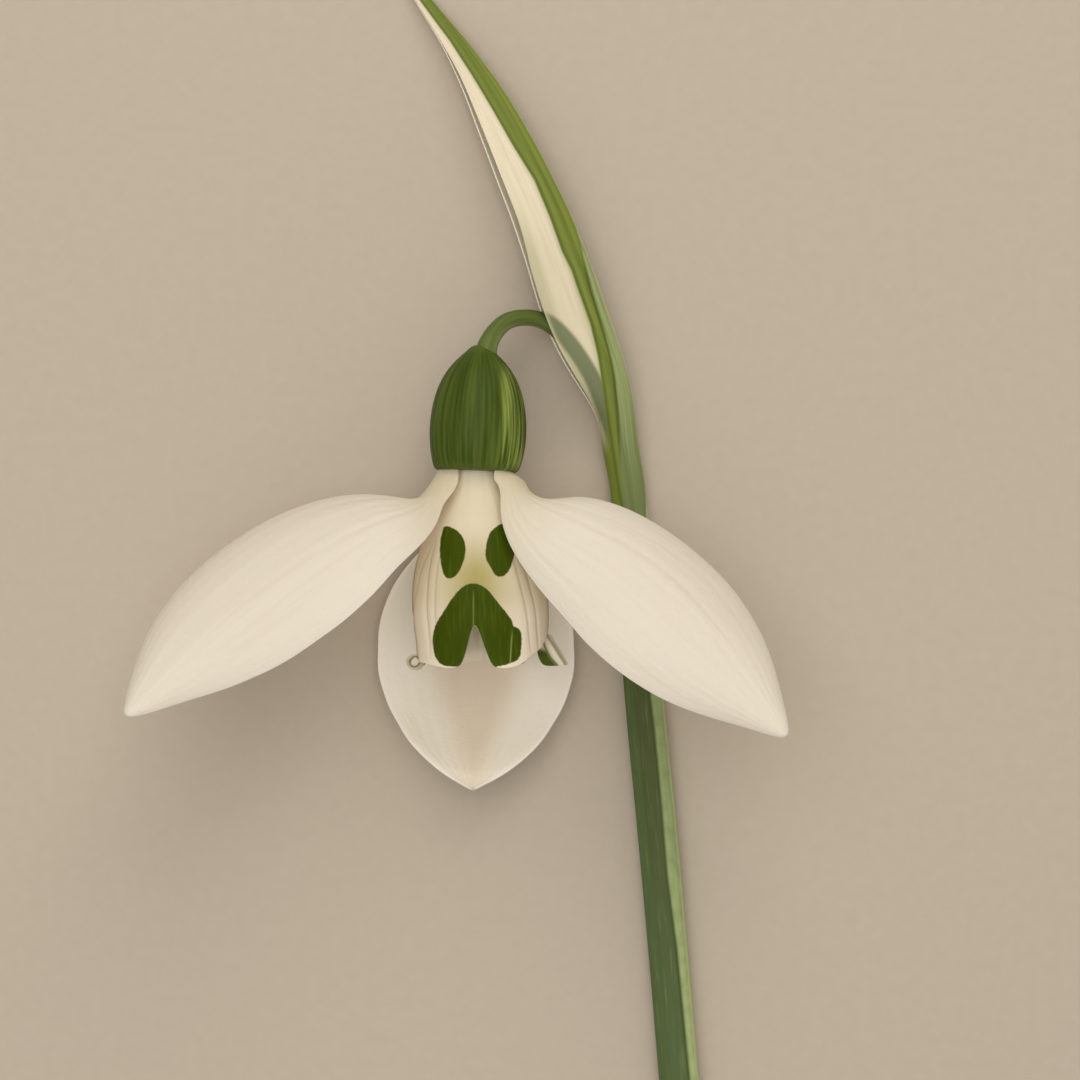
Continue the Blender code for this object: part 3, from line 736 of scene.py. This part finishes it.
def ovary(look):
    def section(angle, along):
        ribs = ovaryShape["lobes"] * np.cos(angle * 3.0 + 0.6) + ovaryShape["ribs"] * np.cos(angle * 31.0)
        return 1.0 + ribs * between(along, (0.15, 0.35), (0.85, 1.0))
    rings = turnedRings(ovaryShape["profile"], ovaryShape["rows"], ovaryShape["columns"], section)
    droop, lean = math.radians(ovaryShape["droop"]), math.radians(ovaryShape["lean"])
    x, height = rings[..., 0], rings[..., 2]
    y = height * math.cos(droop) - rings[..., 1] * math.sin(droop)
    z = -rings[..., 1] * math.cos(droop) - height * math.sin(droop)
    placed = np.stack([x * math.cos(lean) + y * math.sin(lean), y * math.cos(lean) - x * math.sin(lean),
                       z + axisHeight], axis=-1)
    # painted highlight: the pale streaks are laid on thickly down the ovary's lit right side
    lit = between(x, (1.2, 2.0), (2.95, 3.2)) * (1.0 - smoothStep(6.2, 7.8, height))
    lowRim = 0.5 * (1.0 - smoothStep(-0.1, 0.5, height))
    masks = {"streaksAndLitSide": 0.15 + 0.85 * lit, "rimShade": lowRim + 0.6 * smoothStep(7.7, 8.3, height)}
    return closedTube("ovary", placed, masks, look, ["ovary"])


stamenShape = {"profile": [(0.0, 0.15), (0.4, 0.14), (0.9, 0.13), (1.15, 0.2), (1.5, 0.38), (2.2, 0.46),
                           (3.2, 0.44), (4.4, 0.34), (5.5, 0.21), (6.2, 0.1), (6.6, 0.02)],
               "rows": 70, "columns": 32, "count": 6, "circle": 0.8, "splay": 9.0, "start": -0.05}


def stamens(look):
    def section(angle, along):                      # two pouches, each with a seam
        pouch = between(along, (0.15, 0.3), (0.85, 1.0))
        return 1.0 + pouch * (0.13 * np.cos(angle * 2.0) - 0.10 * np.abs(np.sin(angle * 2.0)))
    rings = turnedRings(stamenShape["profile"], stamenShape["rows"], stamenShape["columns"], section)
    splay = math.radians(stamenShape["splay"])
    radial = stamenShape["circle"] + rings[..., 0] * math.cos(splay) + rings[..., 2] * math.sin(splay)
    down = rings[..., 2] * math.cos(splay) - rings[..., 0] * math.sin(splay)
    aside = rings[..., 1]
    masks = {"filament": 1.0 - smoothStep(1.0, 1.35, rings[..., 2])}
    for number in range(stamenShape["count"]):
        bearing = 2.0 * math.pi * (number + 0.5) / stamenShape["count"]
        x = radial * math.cos(bearing) - aside * math.sin(bearing)
        z = radial * math.sin(bearing) + aside * math.cos(bearing)
        placed = np.stack([x, stamenShape["start"] - down, z + axisHeight], axis=-1)
        name = f"stamen_{number + 1}"
        closedTube(name, placed[:, ::-1], masks, look, [name])


styleShape = {"profile": [(-0.35, 0.22), (1.5, 0.21), (4.0, 0.2), (6.5, 0.21), (8.0, 0.15), (8.6, 0.09),
                          (8.9, 0.02)],
              "rows": 60, "columns": 24, "lean": 0.035, "lobes": 0.03}


def style(look):
    rings = turnedRings(styleShape["profile"], styleShape["rows"], styleShape["columns"],
                        lambda angle, along: 1.0 + styleShape["lobes"] * np.cos(angle * 3.0))
    x = rings[..., 0] - rings[..., 2] * styleShape["lean"]
    placed = np.stack([x, -rings[..., 2], rings[..., 1] + axisHeight], axis=-1)
    return closedTube("style", placed[:, ::-1], {}, look, ["style"])


# flower stalk, stem and spathe

# x, y, height and radius, from inside the spathe over the bend and down to the ovary
stalkPath = [(10.3, -1.2, 1.2, 0.54), (9.5, 2.0, 1.5, 0.54), (8.9, 3.9, 1.72, 0.54), (8.1, 5.9, 2.05, 0.55),
             (7.35, 7.3, 2.25, 0.56), (6.45, 8.6, 2.42, 0.56), (5.45, 9.7, 2.58, 0.56),
             (4.4, 10.35, 2.75, 0.56), (3.3, 10.5, 3.4, 0.56), (2.2, 10.25, 4.4, 0.57), (1.4, 9.6, 5.2, 0.6),
             (0.87, 8.75, 5.8, 0.66), (0.62, 7.95, 6.0, 0.76)]
stalkShape = {"rows": 180, "columns": 40, "lobes": 0.02, "bendMiddle": (2.9, 8.6), "insideSpathe": 0.62}


def stalkAt(places):                                # the stalk's line at shares of its length
    return splineThrough(np.linspace(0.0, 1.0, len(stalkPath)), stalkPath, places)


def stalk(look):
    places = np.linspace(0.0, 1.0, stalkShape["rows"])
    line = stalkAt(places)
    rings = sweep(line[:, :3], line[:, 3], stalkShape["columns"],
                  lambda angle, along: 1.0 + stalkShape["lobes"] * np.cos(angle * 3.0 + 1.0))
    fromMiddle = rings - line[:, None, :3]
    towardsMiddle = unit(np.array(stalkShape["bendMiddle"]) - line[:, :2])
    facing = (fromMiddle[..., :2] * towardsMiddle[:, None, :]).sum(axis=-1) / line[:, 3:4]
    masks = {"paleSide": 0.6 * smoothStep(0.4, 0.95, facing) * smoothStep(0.5, 0.62, places)[:, None]}
    return closedTube("pedicel", rings, masks, look, ["pedicel"])


scapeShape = {
    # x, y and half width down the stem
    "path": [(10.28, 0.6, 1.1), (10.45, -1.3, 1.16), (10.75, -5.5, 1.24), (11.52, -15.8, 1.34),
             (12.2, -22.7, 1.37), (13.15, -33.0, 1.37), (13.88, -41.5, 1.39), (14.6, -49.5, 1.43),
             (15.25, -56.5, 1.47)],
    # how far across the low dark edge lies, by mm down the stem
    "edgeAcross": [(0.0, -0.35), (8.0, 0.1), (18.0, 0.28), (28.0, 0.2), (33.0, 0.36), (40.0, 0.42),
                   (57.0, 0.5)],
    "edgeHeight": 0.045, "edgeWidth": 0.10, "flatness": 0.84, "rings": 420, "columns": 128,
    # the cut: rings that close in over a slightly sunken face, as share of the width and mm inwards
    "cut": [(0.985, 0.03), (0.93, 0.0), (0.6, -0.06), (0.25, -0.12)],
}


def scape(look):
    path = scapeShape["path"]
    places = np.array([abs(y - path[0][1]) for _, y, _ in path])
    line = splineThrough(places / places[-1], path, np.linspace(0.0, 1.0, scapeShape["rings"]))
    columns = scapeShape["columns"]
    angle = fullTurn(columns)
    along = np.linspace(0.0, 1.0, len(line))[:, None]
    edgeAcross = np.interp(-line[:, 1], *zip(*scapeShape["edgeAcross"]))[:, None]
    edge = ridge(np.cos(angle) - edgeAcross, scapeShape["edgeWidth"]) * (np.sin(angle) > 0.0)
    out = 1.0 + 0.018 * np.cos(angle * 2.0) - 0.018 + scapeShape["edgeHeight"] * edge
    out = out + 0.004 * np.cos(angle * 19.0) + 0.004 * ripple(angle, along * 60.0, 3)
    forward = unit(np.gradient(line[:, :2], axis=0))
    rightwards = np.stack([-forward[:, 1], forward[:, 0]], axis=-1)       # the path runs down the table
    lift = np.sin(angle) * out * line[:, 2:3] * scapeShape["flatness"]
    lift = lift - lift.min(axis=1, keepdims=True)
    rings = besidePath(line, rightwards, np.cos(angle) * out * line[:, 2:3], lift)
    across = np.cos(angle) * np.ones_like(along)
    down = smoothStep(14.0, 44.0, -line[:, 1])[:, None]
    olive = smoothStep(-0.8, -0.35, across) * (1.0 - smoothStep(edgeAcross - 0.05, edgeAcross + 0.1, across))
    # the bloom is painted on the lit side of the dark edge, partly real wax and partly painted light; the far
    # rim gets a painted highlight
    bloom = smoothStep(edgeAcross + 0.02, edgeAcross + 0.22, across) * (0.6 + 0.38 * down)
    masks = {"oliveBand": olive * (1.0 - 0.75 * down),
             "bloomAndLitSide": bloom + smoothStep(0.86, 0.97, across) * 0.5,
             "darkLine": 0.75 * ridge(across - edgeAcross, 0.05),
             "cutFace": np.zeros_like(across), "pith": np.zeros_like(across)}
    last = rings[-1]
    middle = last.mean(axis=0)
    closing = []
    for share, sink in scapeShape["cut"]:
        ring = middle + (last - middle) * share
        ring[:, :2] += forward[-1] * sink
        closing.append(ring)
    rings = np.concatenate([rings, np.array(closing)])
    for key in masks:
        filler = np.full((len(closing), columns), 1.0 if key == "cutFace" else 0.0)
        if key == "pith":
            filler[2:] = 1.0
        masks[key] = np.concatenate([masks[key], filler])[:, ::-1]
    return closedTube("scape", rings[:, ::-1], masks, look, ["scape"])


spatheShape = {
    # x, y, height of the underside, half width, depth
    "path": [(10.55, -3.6, 0.0, 1.22, 2.06), (10.25, -0.3, 0.0, 1.22, 2.12), (9.9, 1.6, 0.1, 1.26, 2.3),
             (9.58, 3.8, 0.35, 1.34, 2.5), (8.75, 6.3, 0.75, 1.7, 2.7), (7.05, 10.2, 1.05, 2.12, 2.85),
             (5.38, 15.0, 1.2, 2.05, 2.8), (3.34, 20.0, 1.1, 1.8, 2.35), (1.02, 25.0, 0.85, 1.4, 1.85),
             (-1.88, 30.0, 0.4, 0.75, 1.1), (-4.3, 33.4, 0.1, 0.42, 0.65), (-5.6, 35.4, 0.02, 0.16, 0.35)],
    # its section, a flat C open to the left: front membrane, front keel, side, back keel, back membrane
    "section": [(-0.84, 0.97), (-0.6, 1.0), (-0.2, 0.97), (0.2, 0.98), (0.42, 1.06), (0.6, 1.03), (0.7, 0.93),
                (0.8, 0.9), (0.93, 0.76), (1.0, 0.5), (0.92, 0.18), (0.6, 0.02), (0.2, 0.0), (-0.3, 0.03),
                (-0.8, 0.12), (-1.0, 0.34)],
    "rows": 310, "columns": 150, "membrane": 0.1, "keel": 0.4, "openFrom": 1.5, "openTo": 8.0,
    "lowest": 0.015, "grooveDepth": 0.10,
    # where the green begins beside the membrane, and the groove down the green: y, x
    "greenFrom": [(-4.0, 10.2), (-2.0, 9.75), (0.1, 9.42), (3.2, 8.93), (5.9, 8.57), (8.0, 8.23),
                  (10.0, 7.75), (12.5, 6.85), (13.7, 6.45), (15.0, 5.8), (17.4, 4.95), (19.9, 3.92),
                  (22.4, 2.4), (24.9, 1.0), (27.3, -0.4), (29.8, -1.98), (33.0, -4.3), (36.0, -6.4)],
    "grooveAt": [(-4.0, 10.15), (-1.3, 9.93), (2.1, 9.73), (4.0, 9.59), (6.3, 9.35), (8.25, 9.04),
                 (10.45, 8.42), (12.45, 7.81), (14.5, 7.3), (16.5, 6.9), (20.0, 5.6), (36.0, 0.0)],
}


def spathe(look):
    rows, columns = spatheShape["rows"], spatheShape["columns"]
    path = np.array(spatheShape["path"])
    places = np.concatenate([[0.0], np.cumsum(np.linalg.norm(np.diff(path[:, :2], axis=0), axis=1))])
    line = splineThrough(places / places[-1], path, np.linspace(0.0, 1.0, rows))
    heading = unit(np.gradient(line[:, :2], axis=0))
    rightwards = np.stack([heading[:, 1], -heading[:, 0]], axis=-1)
    section = np.array(spatheShape["section"])
    gaps = np.linalg.norm(np.diff(section * [1.0, 0.65], axis=0), axis=1)
    knots = np.concatenate([[0.0], np.cumsum(gaps)]) / gaps.sum()
    t = np.linspace(0.0, 1.0, columns)
    openShape = splineThrough(knots, section, t)
    wrap = np.radians(192.0 - 376.0 * t)            # the sheath goes a little more than once round
    closedShape = np.stack([np.cos(wrap), 0.5 + 0.5 * np.sin(wrap)], axis=-1)
    t = t[None, :]
    down = line[:, 1:2]                             # towards the spathe's tip
    opening = smoothStep(spatheShape["openFrom"], spatheShape["openTo"], down)
    shape = closedShape[None] * (1.0 - opening[..., None]) + openShape[None] * opening[..., None]
    slit = between(down, (14.0, 18.0), (27.0, 31.0))                      # where the two membranes part
    drawnOut = opening * (1.0 - slit) * (1.0 - smoothStep(0.0, 0.16, t))
    shape[..., 0] = shape[..., 0] - 0.13 * drawnOut - 0.05 * smoothStep(0.955, 1.0, t) * opening
    lift = line[:, 2:3] + shape[..., 1] * line[:, 4:5]
    outer = besidePath(line, rightwards, shape[..., 0] * line[:, 3:4], lift)
    ribs = 0.008 * np.cos(t * 2.0 * math.pi * 34.0) + 0.035 * ripple(t * 9.0, down * 0.45, 8)
    ribs = ribs * between(down, (3.0, 9.0), (31.0, 34.0))
    outer = outer + surfaceNormals(outer) * ribs[..., None]
    outer[..., 2] = np.maximum(outer[..., 2], spatheShape["lowest"])

    x, y = outer[..., 0], outer[..., 1]
    pastGreen = x - np.interp(y, *zip(*spatheShape["greenFrom"]))
    pastGroove = x - np.interp(y, *zip(*spatheShape["grooveAt"]))
    facingUp = shape[..., 1] > 0.45
    keel = np.maximum(smoothStep(-0.06, 0.06, pastGreen), 1.0 - smoothStep(1.0, 3.4, down))
    keel = np.maximum(keel, smoothStep(31.5, 33.5, down) * smoothStep(-0.5, 0.0, shape[..., 0]))
    groove = spatheShape["grooveDepth"] * ridge(pastGroove, 0.09) * facingUp
    groove = groove * between(down, (0.5, 3.0), (14.0, 17.0))
    outer = outer - surfaceNormals(outer) * groove[..., None]
    fleshy = (spatheShape["keel"] - spatheShape["membrane"]) * smoothStep(-0.1, 0.5, pastGreen)
    thickness = (spatheShape["membrane"] + fleshy) * (1.0 - 0.7 * smoothStep(30.0, 35.0, down))
    thickness = thickness * (0.2 + 0.8 * smoothStep(-3.6, 4.0, down))

    stalkLine = stalkAt(np.linspace(0.0, stalkShape["insideSpathe"], 90))[:, :2]
    flat = outer[..., :2].reshape(-1, 1, 2)
    nearest = np.concatenate([np.linalg.norm(part - stalkLine[None], axis=-1).min(axis=1)
                              for part in np.array_split(flat, 12)]).reshape(rows, columns)
    overStalk = (1.0 - smoothStep(0.4, 0.72, nearest)) * facingUp
    thinLeft = (1.0 - smoothStep(-0.8, -0.35, shape[..., 0])) * (1.0 - smoothStep(15.0, 20.0, down))
    thinLow = 0.4 * smoothStep(-0.35, -0.02, pastGreen) + 0.3 * (1.0 - smoothStep(13.0, 24.0, down))
    masks = {
        "keel": keel,
        "overStalk": 0.9 * overStalk * (1.0 - 0.8 * smoothStep(0.035, 0.0, t)),
        # painted light along the far membrane's edge
        "litFarEdge": smoothStep(0.945, 0.965, t) * opening,
        "keelShade": facingUp * (ridge(pastGreen - 0.12, 0.14) + 0.5 * ridge(pastGreen - 0.75, 0.25)),
        "thinPart": 0.5 * thinLeft * facingUp + thinLow,
        "sideBand": smoothStep(-0.05, 0.12, pastGroove) * (1.0 - smoothStep(14.0, 17.5, down)),
        "lowSheath": 0.62 * (1.0 - smoothStep(-2.0, 7.0, down)),
        "grooveLine": 0.85 * ridge(pastGroove, 0.10) * between(down, (-0.5, 3.0), (12.5, 16.0)),
        "paleEdge": smoothStep(0.91, 0.975, shape[..., 0]) * (0.3 + 0.45 * smoothStep(0.0, 6.0, down)),
    }
    return sheetPiece("spathe", outer, thickness, masks, look, "spathe")


print("shaping the petals")
petalSkin = petalTissue()
for petalName in ("left", "right", "back"):
    outerPetal(petalName, petalSkin)
bellSkin = markedPetalTissue()
for petalName in innerPetals:
    innerPetal(petalName, bellSkin)

print("shaping the ovary, stamens and style")
ovary(ovarySkin())
stamens(antherPollen())
style(styleSkin())

print("shaping the stem, stalk and spathe")
stalk(stalkSkin())
scape(scapeSkin())
spathe(spatheSkin())


# table, light and camera

print("setting the table, light and camera")
stageSet = {"tableSize": 3.0, "cameraHeight": 0.25, "cameraX": 4.306, "cameraY": -4.722, "lens": 120.0,
            "worldColour": "#E9E6E1", "worldStrength": 0.55}
tableMesh = bpy.data.meshes.new("table_top")
halfTable = stageSet["tableSize"] / 2.0
tableCorners = ((0.0, 0.0), (1.0, 0.0), (1.0, 1.0), (0.0, 1.0))
tablePoints = [((u * 2.0 - 1.0) * halfTable, (v * 2.0 - 1.0) * halfTable, 0.0) for u, v in tableCorners]
tableMesh.from_pydata(tablePoints, [], [(0, 1, 2, 3)])
tableMap = tableMesh.uv_layers.new(name="surfaceMap")
for corner, uvPair in zip(tableMap.data, tableCorners):
    corner.uv = uvPair
tableMesh.materials.append(tablePaper())
table = bpy.data.objects.new("table_top", tableMesh)
bpy.context.collection.objects.link(table)

softboxes = [
    {"name": "key_softbox", "place": (50.0, 220.0, 190.0), "size": 0.2, "power": 0.26,
     "colour": "#FFF7EC"},
    {"name": "front_softbox", "place": (-20.0, -190.0, 190.0), "size": 0.26, "power": 0.12,
     "colour": "#FFF9F0"},
    {"name": "top_softbox", "place": (-40.0, 50.0, 330.0), "size": 0.3, "power": 0.44,
     "colour": "#FFFDF8"},
]
lookAt = Vector(flowerToWorld((2.0, -6.0, 5.0)))
for softbox in softboxes:
    lamp = bpy.data.lights.new(softbox["name"], "AREA")
    lamp.shape = "DISK"
    lamp.size = softbox["size"]
    lamp.energy = softbox["power"]
    lamp.color = hexToLinear(softbox["colour"])[:3]
    lampObject = bpy.data.objects.new(softbox["name"], lamp)
    bpy.context.collection.objects.link(lampObject)
    lampObject.location = Vector(flowerToWorld(softbox["place"]))
    lampObject.rotation_euler = (lookAt - lampObject.location).to_track_quat("-Z", "Y").to_euler()

world = bpy.data.worlds.new("soft_room")
world.use_nodes = True
backdrop = world.node_tree.nodes["Background"]
backdrop.inputs[0].default_value = hexToLinear(stageSet["worldColour"])
backdrop.inputs[1].default_value = stageSet["worldStrength"]
bpy.context.scene.world = world
bpy.context.scene.view_settings.view_transform = "Standard"

cameraData = bpy.data.cameras.new("camera")
cameraData.lens = stageSet["lens"]
cameraData.sensor_width = 36.0
cameraData.clip_start = 0.01
camera = bpy.data.objects.new("camera", cameraData)
bpy.context.collection.objects.link(camera)
cameraPlace = flowerToWorld((stageSet["cameraX"], stageSet["cameraY"], 0.0))
camera.location = (cameraPlace[0], cameraPlace[1], stageSet["cameraHeight"])
bpy.context.scene.camera = camera
